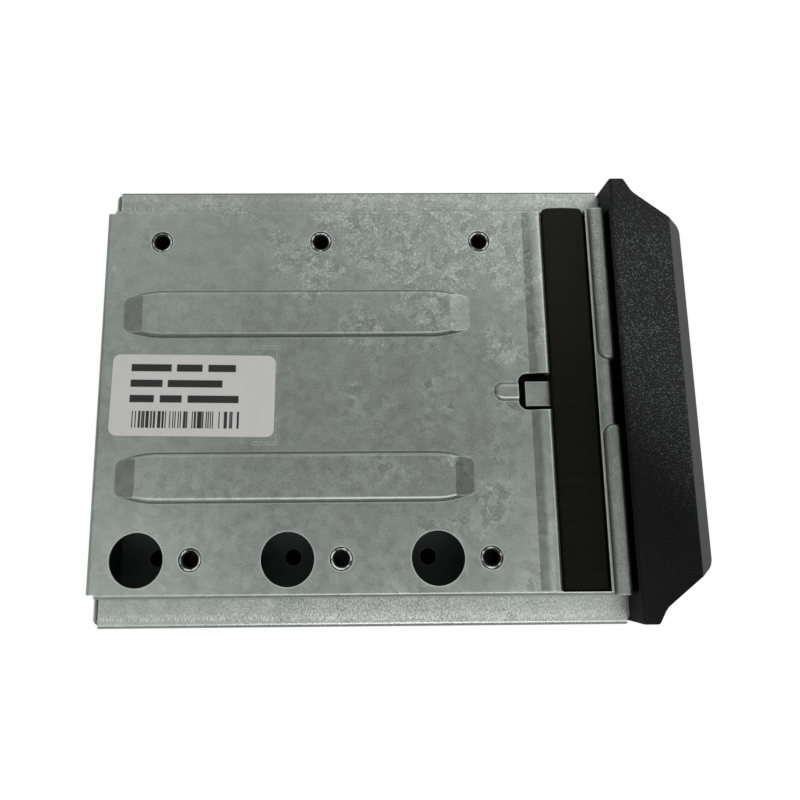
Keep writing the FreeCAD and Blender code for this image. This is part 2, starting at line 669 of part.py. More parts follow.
def base_tray():
    """Folded lower sheet: a floor with four walls and plain screw holes."""
    gauge = size("sheet_gauge")
    outside = tray_block(
        "tray_outside", ("tray_setback", size("tray_setback")), ("tray_front", size("tray_front")),
        "tray_half", ("0", 0.0), "ledge_top", "tray_corner", "bend_outside")
    inside = tray_block(
        "tray_inside", ("tray_setback + sheet_gauge", size("tray_setback") + gauge),
        ("tray_front - sheet_gauge", size("tray_front") - gauge), "tray_inner",
        ("sheet_gauge", gauge), "ledge_top + " + OVERCUT, "tray_corner - sheet_gauge", "bend_inside")
    rear_rise = block(
        "rear_rise", "tray_setback", "tray_setback + sheet_gauge", "-flat_half + nest_gap",
        "flat_half - nest_gap", "wall_top", "rear_wall_top")
    rests = []
    for side, y0, y1 in (("far", "flat_half - nest_gap", "half_width"),
                         ("near", "-half_width", "-flat_half + nest_gap")):
        rests.append(block(
            "ledge_rest_" + side, "ledge_setback - nest_gap", "cover_length + nest_gap", y0, y1,
            "wall_top", "ledge_top + " + OVERCUT))
    holes = []
    under, over = "-" + OVERCUT, "sheet_gauge + " + OVERCUT
    for i, (x, y) in enumerate(tool_places()):
        holes.append(post("screw_hole_%d" % i, "screw_diameter / 2", x, y, under, over))
    for i, (x, y) in enumerate(standoff_places()):
        radius = "shank_diameter / 2 + nest_gap"
        holes.append(post("shank_hole_%d" % i, radius, x, y, under, over))
    for side, sign in (("far", ""), ("near", "-")):
        middle = sign + "hook_half"
        half = "(hook_width / 2 + slot_gap)"
        holes.append(block(
            "hook_slot_" + side, "tray_front - sheet_gauge - " + OVERCUT, "tray_front + " + OVERCUT,
            "%s - %s" % (middle, half), "%s + %s" % (middle, half), "hook_height - slot_gap",
            "hook_top + barb_rise + slot_gap"))
    shell = cut("tray_shell", outside, [inside])
    formed = joined("tray_formed", [shell, rear_rise])
    return cut("base_tray", formed, rests + holes + rivet_holes("tray"))


def standoff(i, x, y):
    """Clinched spacer with a blind threaded bore."""
    barrel = post("barrel_%d" % i, "standoff_diameter / 2", x, y, "sheet_gauge", "standoff_top")
    shank = post("shank_%d" % i, "shank_diameter / 2", x, y, "0", "sheet_gauge")
    bore = post("bore_%d" % i, "bore_diameter / 2", x, y, "standoff_top - bore_depth", "standoff_top")
    mouth = taper(
        "mouth_%d" % i, "bore_diameter / 2", "bore_diameter / 2 + bore_chamfer", x, y,
        "standoff_top - bore_chamfer", "standoff_top")
    return cut("standoff_%d" % i, joined("standoff_solid_%d" % i, [barrel, shank]), [bore, mouth])


def rivet(name, x, side):
    """Flush rivet through a skirt and the tray's wall, with its head inside."""
    if side > 0:
        limits = ["tray_inner", "half_width"]
        head = ["tray_inner - rivet_head_thick", "tray_inner"]
    else:
        limits = ["-half_width", "-tray_inner"]
        head = ["-tray_inner", "-tray_inner + rivet_head_thick"]
    shank = crossbar(name + "_shank", "rivet_diameter / 2", x, "rivet_height", limits[0], limits[1])
    cap = crossbar(name + "_cap", "rivet_head / 2", x, "rivet_height", head[0], head[1])
    return joined(name, [shank, cap])


def gasket_bracket():
    """Folded bracket on the tray's floor with a tongue behind its web."""
    floor, step = "sheet_gauge", "2 * sheet_gauge"
    points = [
        ("web_rear - bracket_foot", floor), ("web_rear - bracket_foot", step), ("web_rear", step),
        ("web_rear", "web_top"), ("web_front", "web_top"), ("web_front", step),
        ("web_front + bracket_foot", step), ("web_front + bracket_foot", floor),
        ("web_front - sheet_gauge", floor), ("web_front - sheet_gauge", "web_top - sheet_gauge"),
        ("web_rear + sheet_gauge", "web_top - sheet_gauge"), ("web_rear + sheet_gauge", floor),
    ]
    body = prism("bracket_fold", "XZ_Plane", points, "strip_near", "bracket_far")
    gauge = size("sheet_gauge")
    rear, front, top = size("web_rear"), size("web_front"), size("web_top")
    outer = [(rear, top), (front, top), (rear + gauge, gauge), (front - gauge, gauge)]
    inner = [
        (rear, 2 * gauge), (front, 2 * gauge), (rear + gauge, top - gauge), (front - gauge, top - gauge),
    ]
    rounded(body, "outer_bends", "bend_outside", along("Y", outer))
    rounded(body, "inner_bends", "bend_inside", along("Y", inner))
    tongue = block(
        "tongue", "window_rear - tongue_reach", "web_rear + bend_outside", "notch_offset - tongue_width / 2",
        "notch_offset + tongue_width / 2", "web_top - sheet_gauge", "web_top")
    return joined("gasket_bracket", [body, tongue])


def front_gasket():
    """Soft strip on the bracket's web, in the window."""
    body = plate(
        "front_gasket", "window_rear + gasket_gap", "window_front - gasket_gap", "strip_near", "strip_far",
        "web_top", "gasket_top")
    ends = (size("window_rear") + size("gasket_gap"), size("window_front") - size("gasket_gap"))
    rounded(body, "corners", "gasket_corner", along("Z", [(x, size("strip_far")) for x in ends]))
    rounded(body, "top", "gasket_round", at_height(size("gasket_top")))
    return body


def front_bezel():
    """Hollow moulding with swept ends, bevelled front edges and two hooks."""
    waist = "tray_front + waist_along"
    tip = "tray_front + tip_length"
    points = [
        ("tray_front", "-tip_half"), (tip, "-tip_half"), (waist, "-waist_half"), ("bezel_front", "-face_half"),
        ("bezel_front", "face_half"), (waist, "waist_half"), (tip, "tip_half"), ("tray_front", "tip_half"),
    ]
    body = prism("bezel_block", "XY_Plane", points, "0", "bezel_top")
    profile = body.Tip.Profile[0]
    rear = size("tray_front")
    turns = (
        ("tips", "tip_round", rear + size("tip_length"), size("tip_half")),
        ("waists", "waist_round", rear + size("waist_along"), size("waist_half")),
        ("faces", "face_round", size("bezel_front"), size("face_half")),
    )
    for name, radius, x, y in turns:
        rounded(body, name, radius, along("Z", [(x, y), (x, -y)]))
    rounded(body, "rim", "rim_round", along("Y", [(rear, size("bezel_top")), (rear, 0.0)]))
    bevels = []
    for name, level, inward, outward in (("upper", "bezel_top", "-", "+"), ("lower", "0", "+", "-")):
        corners = [
            ("bezel_front - bevel_run", level),
            ("bezel_front + bevel_run", "%s %s 2 * bevel_drop" % (level, inward)),
            ("bezel_front + bevel_run", "%s %s bevel_drop" % (level, outward)),
            ("bezel_front - bevel_run", "%s %s bevel_drop" % (level, outward)),
        ]
        bevels.append(prism("bevel_" + name, "XZ_Plane", corners, "-half_width", "half_width"))
    inner = doc.addObject("Part::Offset2D", "bezel_inner_outline")
    inner.Source = profile
    inner.Join = "Intersection"
    bind(inner, Value="-bezel_wall")
    cavity = doc.addObject("Part::Extrusion", "bezel_cavity")
    cavity.Base = inner
    cavity.Dir = FreeCAD.Vector(0, 0, 1)
    cavity.Solid = True
    bind(cavity, LengthFwd="bezel_top - 2 * bezel_wall")
    place(cavity, "0", "0", "bezel_wall")
    mouth = block(
        "bezel_mouth", "tray_front - " + OVERCUT, "tray_front + bezel_wall + nest_gap",
        "-tip_half + mouth_inset", "tip_half - mouth_inset", "bezel_wall", "bezel_top - bezel_wall")
    shell = cut("bezel_shell", body, bevels + [cavity, mouth])
    hooks = []
    for side, sign in (("far", ""), ("near", "-")):
        middle = sign + "hook_half"
        limits = ["%s - hook_width / 2" % middle, "%s + hook_width / 2" % middle]
        wall = "(tray_front - sheet_gauge)"
        hooks.append(block(
            "hook_" + side, wall + " - hook_reach", "bezel_front - hook_root", limits[0], limits[1],
            "hook_height", "hook_top"))
        barb = [
            (wall + " - hook_reach", "hook_top"), (wall + " - barb_gap", "hook_top"),
            (wall + " - barb_gap", "hook_top + barb_rise"),
        ]
        hooks.append(prism("barb_" + side, "XZ_Plane", barb, limits[0], limits[1]))
    return joined("front_bezel", [shell] + hooks)


def spare_label():
    """Paper label with rounded corners, modelled about its own middle."""
    half_x, half_y = "label_length / 2", "label_width / 2"
    body = plate("spare_label", "-" + half_x, half_x, "-" + half_y, half_y, "0", "label_thick")
    corners = [
        (x * size("label_length") / 2, y * size("label_width") / 2) for x in (1, -1) for y in (1, -1)
    ]
    rounded(body, "corners", "label_corner", along("Z", corners))
    return body


def group(name, pieces):
    """Keep identical pieces together as separate solids."""
    compound = doc.addObject("Part::Compound", name)
    compound.Links = pieces
    return compound


standoffs = group("standoffs", [standoff(i, x, y) for i, (x, y) in enumerate(standoff_places())])
skirt_rivets = group("skirt_rivets", [
    rivet("rivet_%s_%d" % (name, i), x, side)
    for name, side in (("far", 1), ("near", -1)) for i, x in enumerate(rivet_places())
])
nodes = [
    side_cover(), base_tray(), standoffs, gasket_bracket(), front_gasket(), front_bezel(), skirt_rivets,
]
for node in nodes:
    place(node, "-overall_length / 2")
label = spare_label()
place(label, "label_along - overall_length / 2", "label_across", "plate_height")
bind(label, **{"Placement.Rotation.Angle": "label_skew"})
nodes.append(label)
for node in nodes:
    node.Label = node.Name

doc.recompute()
for item in doc.Objects:
    if "Invalid" in item.State or "Error" in item.State:
        raise RuntimeError("%s could not be built: %s" % (item.Name, item.State))
os.makedirs("parts", exist_ok=True)
for node in nodes:
    shape = node.Shape
    if shape.isNull() or not shape.isValid():
        raise RuntimeError("%s has no valid shape" % node.Label)
    shape.exportStep("parts/%s.step" % node.Label)
    box = shape.BoundBox
    print("%-15s solids %d volume %.1f x %.2f..%.2f y %.2f..%.2f z %.2f..%.2f" % (
        node.Label, len(shape.Solids), shape.Volume, box.XMin, box.XMax, box.YMin, box.YMax, box.ZMin,
        box.ZMax))
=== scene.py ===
# %% [markdown]
# A blank for an empty bay of a server enclosure: a folded box of galvanised sheet with a black
# moulded bezel at its front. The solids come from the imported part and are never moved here.
# This lesson gives each of them its finish, models the soft strip, and sets light and camera.

# %% Load the part
import math
import random

import bmesh
import bpy
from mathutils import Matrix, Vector


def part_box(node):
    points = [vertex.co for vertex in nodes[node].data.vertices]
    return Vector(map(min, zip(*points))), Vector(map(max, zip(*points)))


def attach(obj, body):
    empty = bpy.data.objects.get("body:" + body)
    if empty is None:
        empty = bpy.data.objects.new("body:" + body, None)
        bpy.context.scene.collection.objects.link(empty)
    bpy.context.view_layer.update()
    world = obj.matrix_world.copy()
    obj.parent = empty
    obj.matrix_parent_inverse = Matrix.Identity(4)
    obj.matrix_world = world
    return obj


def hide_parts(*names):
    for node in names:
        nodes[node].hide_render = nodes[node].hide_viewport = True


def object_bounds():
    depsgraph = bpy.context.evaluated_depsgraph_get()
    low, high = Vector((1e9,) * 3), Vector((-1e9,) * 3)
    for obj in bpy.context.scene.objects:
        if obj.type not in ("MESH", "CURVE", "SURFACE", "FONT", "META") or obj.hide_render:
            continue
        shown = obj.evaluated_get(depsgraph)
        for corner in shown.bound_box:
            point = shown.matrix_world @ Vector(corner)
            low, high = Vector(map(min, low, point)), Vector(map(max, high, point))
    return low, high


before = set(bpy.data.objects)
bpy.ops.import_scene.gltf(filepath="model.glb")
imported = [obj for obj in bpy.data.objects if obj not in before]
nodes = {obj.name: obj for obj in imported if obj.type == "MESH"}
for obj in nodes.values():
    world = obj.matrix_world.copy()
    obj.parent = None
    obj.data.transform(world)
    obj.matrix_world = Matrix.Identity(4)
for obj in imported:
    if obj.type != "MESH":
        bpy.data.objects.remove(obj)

MM = 0.001
cad_low, cad_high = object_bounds()
print("nodes:", ", ".join(sorted(nodes)))
print("box in mm:", [round(side / MM, 1) for side in cad_high - cad_low])

# %% [markdown]
# Every finish below is a tree of shader nodes. Wiring such a tree by hand takes many lines, so one
# small class stands for an output socket and takes part in Python sums: `1 - mask` or `grain * 0.2`
# adds the Math node and its links. Another class holds the board on which the nodes are wired, which
# belongs to a material or to the world. A socket keeps its own number where the number is the same
# all over a surface.

# %% Sums of sockets
class Wire:
    """An output socket that can be used in Python sums."""

    def __init__(self, board, socket):
        self.board = board
        self.socket = socket

    def maths(self, operation, first, second=0.0):
        return self.board.node("ShaderNodeMath", {"operation": operation}, {0: first, 1: second})

    def __abs__(self):
        return self.maths("ABSOLUTE", self)

    def __add__(self, other):
        return self.maths("ADD", self, other)

    def __radd__(self, other):
        return self.maths("ADD", other, self)

    def __sub__(self, other):
        return self.maths("SUBTRACT", self, other)

    def __rsub__(self, other):
        return self.maths("SUBTRACT", other, self)

    def __mul__(self, other):
        return self.maths("MULTIPLY", self, other)

    def __rmul__(self, other):
        return self.maths("MULTIPLY", other, self)


class Board:
    """A tree of nodes that is being wired."""

    def __init__(self, tree):
        self.tree = tree

    def fill(self, socket, value):
        if isinstance(value, Wire):
            self.tree.links.new(value.socket, socket)
        else:
            socket.default_value = value

    def node(self, kind, settings=None, sockets=None, out=0):
        """Add a node, make its settings, then fill its sockets."""
        made = self.tree.nodes.new(kind)
        for name, value in (settings or {}).items():
            setattr(made, name, value)
        for key, value in (sockets or {}).items():
            self.fill(made.inputs[key], value)
        return Wire(self, made.outputs[out])


class Finish(Board):
    """A procedural material and the nodes that make it."""

    def __init__(self, name):
        self.material = bpy.data.materials.new(name)
        self.material.use_nodes = True
        super().__init__(self.material.node_tree)
        self.shader = self.tree.nodes["Principled BSDF"]

    def surface(self, **sockets):
        """Fill sockets of the surface shader, named with _ for a space."""
        for name, value in sockets.items():
            self.fill(self.shader.inputs[name.replace("_", " ")], value)


# %% [markdown]
# A few kinds of node come back in every finish: a cloud of noise, a field of cells, a step from one
# level to another, a blend of two colours, rounded edges and fine relief. Each gets a short function.
# Scales are written as the size of one blotch in metres, because a learner can picture three
# millimetres better than a texture scale of 333.

# %% Nodes that come back
MIX_FACTOR, MIX_FIRST, MIX_SECOND, MIX_COLOUR = 0, 6, 7, 2
BEVEL_SAMPLES = 4
SOFT_EDGE = 0.12 * MM
HALF = 0.5


def cloud(finish, place, blotch, detail=2.0, out=0):
    """Soft noise from 0 to 1 with blotches of a given size."""
    sockets = {"Vector": place, "Scale": 1 / blotch, "Detail": detail}
    return finish.node("ShaderNodeTexNoise", {}, sockets, out=out)


def drawn_out(finish, place, sizes, detail):
    """Noise from 0 to 1 with blotches of a given size along X, Y and Z."""
    stretched = vectors(finish, "MULTIPLY", place, tuple(1 / size for size in sizes))
    return cloud(finish, stretched, 1.0, detail)


def cells(finish, place, width, out="Color", feature="F1"):
    """Field of cells of a given width: a random colour for each, or a distance in it."""
    sockets = {"Vector": place, "Scale": 1 / width}
    return finish.node("ShaderNodeTexVoronoi", {"feature": feature}, sockets, out=out)


def level(finish, colour):
    """Red share of a random colour, as a number from 0 to 1."""
    return finish.node("ShaderNodeSeparateColor", {}, {"Color": colour}, out="Red")


def rise(finish, value, low, high):
    """Smooth step from 0 at low to 1 at high."""
    settings = {"interpolation_type": "SMOOTHSTEP"}
    return finish.node("ShaderNodeMapRange", settings, {"Value": value, "From Min": low, "From Max": high})


def between(finish, value, low, high, soft=SOFT_EDGE):
    """1 where a value lies between two limits, 0 elsewhere."""
    return rise(finish, value, low - soft, low + soft) * (1 - rise(finish, value, high - soft, high + soft))


def span(mask, low, high):
    """Low where a mask is 0, high where it is 1."""
    return low + (high - low) * mask


def swing(value, share):
    """Share of how far a value lies from one half."""
    return share * (value - HALF)


def larger(first, second):
    """The larger of two values."""
    return first.maths("MAXIMUM", first, second)


def axes(finish, vector):
    """X, Y and Z of a vector."""
    return [finish.node("ShaderNodeSeparateXYZ", {}, {"Vector": vector}, out=axis) for axis in "XYZ"]


def vectors(finish, operation, first, second):
    """Sum of vectors, such as ADD or SCALE."""
    key = "Scale" if operation == "SCALE" else 1
    return finish.node("ShaderNodeVectorMath", {"operation": operation}, {0: first, key: second})


def around_zero(finish, colour, width):
    """Vector from a random colour, spread evenly around zero."""
    return vectors(finish, "SCALE", vectors(finish, "SUBTRACT", colour, (HALF, HALF, HALF)), width)


def blend(finish, factor, first, second, stop=True):
    """First colour at factor 0, second colour at factor 1, and beyond them without a stop."""
    sockets = {MIX_FACTOR: factor, MIX_FIRST: first, MIX_SECOND: second}
    settings = {"data_type": "RGBA", "clamp_factor": stop}
    return finish.node("ShaderNodeMix", settings, sockets, out=MIX_COLOUR)


def grey(value, tint=(1.0, 1.0, 1.0)):
    """Colour of a given brightness with a slight tint."""
    return (value * tint[0], value * tint[1], value * tint[2], 1.0)


def rounded_edges(finish, radius):
    """Direction of the surface with its edges rounded."""
    return finish.node("ShaderNodeBevel", {"samples": BEVEL_SAMPLES}, {"Radius": radius})


def relief(finish, height, strength, depth, **under):
    """Direction of the surface with fine relief on it."""
    sockets = {"Strength": strength, "Distance": depth, "Height": height}
    return finish.node("ShaderNodeBump", {}, {**sockets, **under})


# %% [markdown]
# A finish also asks where a point of the surface lies on the object and which way the surface looks
# there. A small class keeps the answers. A last function puts a finish on whole nodes of the part.

# %% Place and direction
class Spot:
    """Place on the object in metres, in the part's own frame, and direction of the surface."""

    def __init__(self, finish):
        self.place = finish.node("ShaderNodeTexCoord", out="Object")
        self.x, self.y, self.z = axes(finish, self.place)
        self.direction = finish.node("ShaderNodeNewGeometry", out="Normal")
        self.forward, self.sideways, self.upward = axes(finish, self.direction)


def dress(finish, *names):
    """Give a finish to whole nodes of the part."""
    for name in names:
        mesh = nodes[name].data
        mesh.materials.clear()
        mesh.materials.append(finish.material)
    print(finish.material.name, "on", ", ".join(names))


# %% [markdown]
# Galvanised sheet is steel with a thin coat of zinc. The zinc freezes in flat crystals about two
# millimetres wide, and each mirrors the room a little differently. A picture of such sheet could be
# mapped on, but a field of cells does the same with no picture: every cell tilts the surface by a
# degree and is a touch lighter or darker. On the far side and towards the front the crystals are
# painted to differ more, and the seams of a finer field stand out as short bright flecks, the frost:
# there both are painted highlights, for the bright part of the room that the sheet mirrors.

# %% Frost and painted glints
PATCH_BLOTCH = 18 * MM
SEAM_CELL = 1.3 * MM
SEAM_WIDTH = (0.02, 0.13)
FROST_SIDE = (-15 * MM, 60 * MM)
FROST_FRONT = (-60 * MM, 20 * MM)
FROST_BREAK = 0.8 * MM
BROKEN_FROM = (0.47, 0.6)
FAR_LIGHT_PULL = 0.24
FRONT_LIGHT_PULL = 0.26
FROSTED_FROM = (0.75, 0.91)
LEAST_FROST = 0.45


def frost_and_glints(zinc, spot, patch):
    """Share of frost and its bright flecks, from 0 to 1, painted stronger on the far side and front as
    highlights.
    """
    lit_far_side = rise(zinc, spot.y, *FROST_SIDE)
    front = rise(zinc, spot.x, *FROST_FRONT)
    # The far side and the front pull the frost up: there it is a painted highlight.
    frost_and_light = rise(zinc, patch + FAR_LIGHT_PULL * lit_far_side + FRONT_LIGHT_PULL * front, *FROSTED_FROM)
    seam = cells(zinc, spot.place, SEAM_CELL, out="Distance", feature="DISTANCE_TO_EDGE")
    broken = rise(zinc, cloud(zinc, spot.place, FROST_BREAK), *BROKEN_FROM)
    flecks = (1 - rise(zinc, seam, *SEAM_WIDTH)) * broken
    return frost_and_light, flecks * frost_and_light * span(lit_far_side, LEAST_FROST, 1.0)


# %% [markdown]
# The tone of the coat is a number: 0 is the darkest zinc, 1 the lightest, and frost goes beyond. It
# starts at one half, and each of these moves it a little: the crystal, soft blotches, fine grain, large
# patches, frost, and a slow change over the plate, which is paler at its ends and along its long sides.

# %% Zinc crystals
ZINC_TINT = (0.905, 1.0, 0.915)
CRYSTAL_WIDTH = 2.2 * MM
CRYSTAL_TILT = 0.022
WANDER_BLOTCH = 3 * MM
WANDER = 1.5 * MM
BLOTCH = 3.5 * MM
GRAIN_BLOTCH = 0.5 * MM
PALE_MIDDLE = -10 * MM
PALE_ENDS = (20 * MM, 80 * MM)
PALE_SIDE = (10 * MM, 50 * MM)
PALE_NEAR = (-45 * MM, -10 * MM)
PALE_FRONT = (-50 * MM, 0.0)
END_TONES = (-0.1575, 0.1925)
FAR_TONE = 0.21
NEAR_TONES = (0.06, 0.34)
CRYSTAL_TONES = (0.2, 0.7)
BLOTCH_TONE = 0.6
GRAIN_TONE = 1.1
PATCH_TONE = 0.25
FROST_GLINT_TONE = 1.3


def pale_parts(zinc, spot):
    """Slow change of tone over the plate."""
    ends = rise(zinc, abs(spot.x - PALE_MIDDLE), *PALE_ENDS)
    far = rise(zinc, spot.y, *PALE_SIDE) * rise(zinc, spot.x, *PALE_FRONT)
    near = 1 - rise(zinc, spot.y, *PALE_NEAR)
    return span(ends, *END_TONES) + FAR_TONE * far + near * span(ends, *NEAR_TONES)


def zinc_crystals(zinc, spot):
    """Tilt of the crystals, tone of the coat, and height of its grain."""
    wander = cloud(zinc, spot.place, WANDER_BLOTCH, out="Color")
    moved = vectors(zinc, "ADD", spot.place, vectors(zinc, "SCALE", wander, WANDER))
    crystal = cells(zinc, moved, CRYSTAL_WIDTH)
    blotch = cloud(zinc, spot.place, BLOTCH, detail=3.0)
    grain = cloud(zinc, spot.place, GRAIN_BLOTCH, detail=3.0)
    patch = cloud(zinc, spot.place, PATCH_BLOTCH)
    frost_and_light, frost_glints = frost_and_glints(zinc, spot, patch)
    tone = HALF + swing(level(zinc, crystal), span(frost_and_light, *CRYSTAL_TONES)) + swing(blotch, BLOTCH_TONE)
    tone = tone + swing(grain, GRAIN_TONE) + swing(patch, PATCH_TONE) + FROST_GLINT_TONE * frost_glints
    return around_zero(zinc, crystal, CRYSTAL_TILT), tone + pale_parts(zinc, spot), grain


# %% [markdown]
# The shoulders of the ribs and folds are painted darker than the flats, as shade: the height of the
# surface's own direction finds them. The far rib is painted dark on its near shoulder at a lower slope
# than elsewhere, three of the four ramps at the ribs' ends are painted dark too, and the outer fold on
# the far side is painted darkest of all.

# %% Painted shade on bends
RIB_LEVEL = 37.05 * MM
RIBS_UP_TO = 32 * MM
RIB_SOFT = 0.2 * MM
RAMP_SOFT = 2 * MM
FAR_HALF = (0.0, 10 * MM)
NEAR_SHOULDER = (-0.12, -0.04)
RAMP_LEAN = (0.06, 0.14)
FRONT_RAMP = 0.75
REAR_RAMP = 0.3
BENT_FROM = (0.03, 0.2)
FLAT_FROM = (0.7, 0.95)
FLAT_UP_TO = (0.97, 0.997)
LEDGE_LEVELS = (29.0 * MM, 30.4 * MM)
FAR_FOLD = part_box("side_cover")[1].y - 0.9 * MM
FOLD_SOFT = 0.3 * MM
FOLD_FOOT = 28.9 * MM
FOLD_SHADE = 1.5


def shaded_ramps(zinc, spot, on_rib, far_half):
    """Share of painted shade on the ramps at the ends of the ribs."""
    front = (1 - far_half) * rise(zinc, spot.forward, *RAMP_LEAN)
    rear = 1 - rise(zinc, spot.forward, -RAMP_LEAN[1], -RAMP_LEAN[0])
    behind = 1 - rise(zinc, spot.x, RIBS_UP_TO, RIBS_UP_TO + RAMP_SOFT)
    return (FRONT_RAMP * front + REAR_RAMP * rear) * on_rib * behind


def painted_bend_shade(zinc, spot):
    """Share of painted shade on bends, from 0 to 1, and more on the far outer fold."""
    on_rib = rise(zinc, spot.z, RIB_LEVEL, RIB_LEVEL + RIB_SOFT)
    far_half = rise(zinc, spot.y, *FAR_HALF)
    shaded_shoulder = on_rib * far_half * (1 - rise(zinc, spot.sideways, *NEAR_SHOULDER))
    flatness = rise(zinc, spot.upward, span(shaded_shoulder, *FLAT_FROM), span(shaded_shoulder, *FLAT_UP_TO))
    shoulders = rise(zinc, spot.upward, *BENT_FROM) * (1 - flatness)
    # The far outer fold is painted darkest, as shade.
    fold = rise(zinc, spot.y, FAR_FOLD, FAR_FOLD + FOLD_SOFT)
    fold = fold * between(zinc, spot.z, FOLD_FOOT, LEDGE_LEVELS[1])
    bend_shading = larger(shoulders, shaded_ramps(zinc, spot, on_rib, far_half))
    return larger(bend_shading, FOLD_SHADE * fold)


# %% [markdown]
# The ledges slide in the bay and are rubbed bright, and the near one is painted brighter still, as the
# light that it mirrors. Fine bright grain covers it, denser towards the front, with a row of short
# scratches across its outer edge. The lip in front of the strip has dark streaks and grit, and along
# its edges and on its two bumps it is painted dark as shade.

# %% Rubbed and lit ledge, streaked and shaded lip
STROKE_DETAIL = 2.0
RUB_SIZES = (0.4 * MM, 0.65 * MM, 0.65 * MM)
STROKE_SIZES = (0.4 * MM, 4 * MM, 4 * MM)
SCRATCH_SIZES = (0.3 * MM, 1.5 * MM, 1.5 * MM)
SCRATCHED_FROM = (0.5, 0.62)
SCRATCH_ROW = (65.4 * MM, 67.4 * MM)
ROW_SOFT = 0.6 * MM
LEDGE_UPWARD = (0.7, 0.95)
SIDE_CHANGE = (-10 * MM, 10 * MM)
FAR_WEAR_AND_LIGHT = 0.3
SLID_FROM = (-80 * MM, -10 * MM)
REAR_WEAR = 0.45
RUBBED_FROM = (0.4, 0.62)
RUB_SHARES = (0.08, 0.8)
LIP_ALONG = (63.3 * MM, 70.0 * MM)
LIP_LEVELS = (34 * MM, 36 * MM)
LIP_MIDDLE = 67.0 * MM
LIP_EDGES = (0.6 * MM, 2.6 * MM)
STREAKED_FROM = (0.3, 0.7)
GRITTY_FROM = (0.38, 0.62)
BUMP_LEVELS = (37.3 * MM, 37.6 * MM)
STREAK_SHARE, GRIT_SHARE, EDGE_SHADE_SHARE, BUMP_SHADE_SHARE = 0.35, 0.45, 0.8, 0.35


def rubbed_and_lit_ledge(zinc, spot):
    """Share of zinc on the ledges painted bright: rubs and scratches, with painted light stronger on the
    near side.
    """
    ledge = between(zinc, spot.z, *LEDGE_LEVELS) * rise(zinc, spot.upward, *LEDGE_UPWARD)
    # The near side is painted brighter, as light.
    worn_and_lit_side = span(rise(zinc, spot.y, *SIDE_CHANGE), 1.0, FAR_WEAR_AND_LIGHT)
    slid = span(rise(zinc, spot.x, *SLID_FROM), REAR_WEAR, 1.0)
    rubs = drawn_out(zinc, spot.place, RUB_SIZES, STROKE_DETAIL)
    grains = span(rise(zinc, rubs, *RUBBED_FROM), *RUB_SHARES)
    scratches = rise(zinc, drawn_out(zinc, spot.place, SCRATCH_SIZES, STROKE_DETAIL), *SCRATCHED_FROM)
    scratches = scratches * between(zinc, abs(spot.y), *SCRATCH_ROW, soft=ROW_SOFT)
    return ledge * worn_and_lit_side * (slid * grains + scratches)


def streaked_and_shaded_lip(zinc, spot):
    """Share of dark zinc on the lip, streaks and grit with painted shade on its edges and bumps, which can
    pass 1.
    """
    lip = between(zinc, spot.x, *LIP_ALONG) * rise(zinc, spot.z, *LIP_LEVELS)
    strokes = drawn_out(zinc, spot.place, STROKE_SIZES, STROKE_DETAIL)
    rubs = drawn_out(zinc, spot.place, RUB_SIZES, STROKE_DETAIL)
    # Painted shade along the lip's edges and on its bumps.
    edge_shade = EDGE_SHADE_SHARE * rise(zinc, abs(spot.x - LIP_MIDDLE), *LIP_EDGES)
    bump_shade = BUMP_SHADE_SHARE * rise(zinc, spot.z, *BUMP_LEVELS)
    streaks = STREAK_SHARE * rise(zinc, strokes, *STREAKED_FROM)
    grit = GRIT_SHARE * rise(zinc, rubs, *GRITTY_FROM)
    return lip * (streaks + grit + edge_shade + bump_shade)


# %% [markdown]
# Creases are painted dark as shade, which an Ambient Occlusion node finds. The inside of the box is
# painted dark as shade, and so is the narrow gap behind the ledges at the two rear corners.

# %% Painted shade in creases and inside
CREASE_REACH = 2.0 * MM
CREASE_SAMPLES = 8
CREASE_OPEN = (0.3, 0.8)
INSIDE_LEVELS = (28.7 * MM, 29.0 * MM)
INSIDE_UPWARD = (-0.6, -0.3)
INSIDE_HALF = 66.7 * MM
INSIDE_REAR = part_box("base_tray")[0].x + 0.1 * MM
WALL_SOFT = 0.2 * MM
REAR_GAP = (-90.75 * MM, -89.95 * MM)
REAR_CORNERS = 58 * MM
GAP_SOFT = 0.3 * MM
GAP_UPWARD = (0.5, 0.8)


def painted_crease_shade(zinc):
    """Share of painted shade in creases."""
    sockets = {"Distance": CREASE_REACH}
    open_sky = zinc.node("ShaderNodeAmbientOcclusion", {"samples": CREASE_SAMPLES}, sockets, out="AO")
    return 1 - rise(zinc, open_sky, *CREASE_OPEN)


def painted_inside_shade(zinc, spot):
    """Share of painted shade inside the box and in the gaps at its rear corners."""
    inside = (1 - rise(zinc, spot.z, *INSIDE_LEVELS)) * rise(zinc, spot.upward, *INSIDE_UPWARD)
    inside = inside * rise(zinc, spot.x, INSIDE_REAR, INSIDE_REAR + WALL_SOFT)
    inside = inside * between(zinc, spot.y, -INSIDE_HALF, INSIDE_HALF)
    # Painted shade in the gap behind the ledges.
    gap = between(zinc, spot.x, *REAR_GAP) * rise(zinc, spot.upward, *GAP_UPWARD)
    gap = gap * rise(zinc, abs(spot.y), REAR_CORNERS, REAR_CORNERS + WALL_SOFT)
    gap = gap * (1 - rise(zinc, spot.z, LEDGE_LEVELS[1], LEDGE_LEVELS[1] + GAP_SOFT))
    return larger(inside, gap)


# %% [markdown]
# Now the finish itself. One Bevel node rounds the sharp edges of the punched sheet a little, so that
# they catch light. A second, wider one only finds the edges: where its direction leaves the surface's
# own there is an edge, and there the zinc is painted bright, as wear and as a highlight. The marks are
# laid over the tone one by one.
# The crystals tilt the direction, and the grain is relief on top.

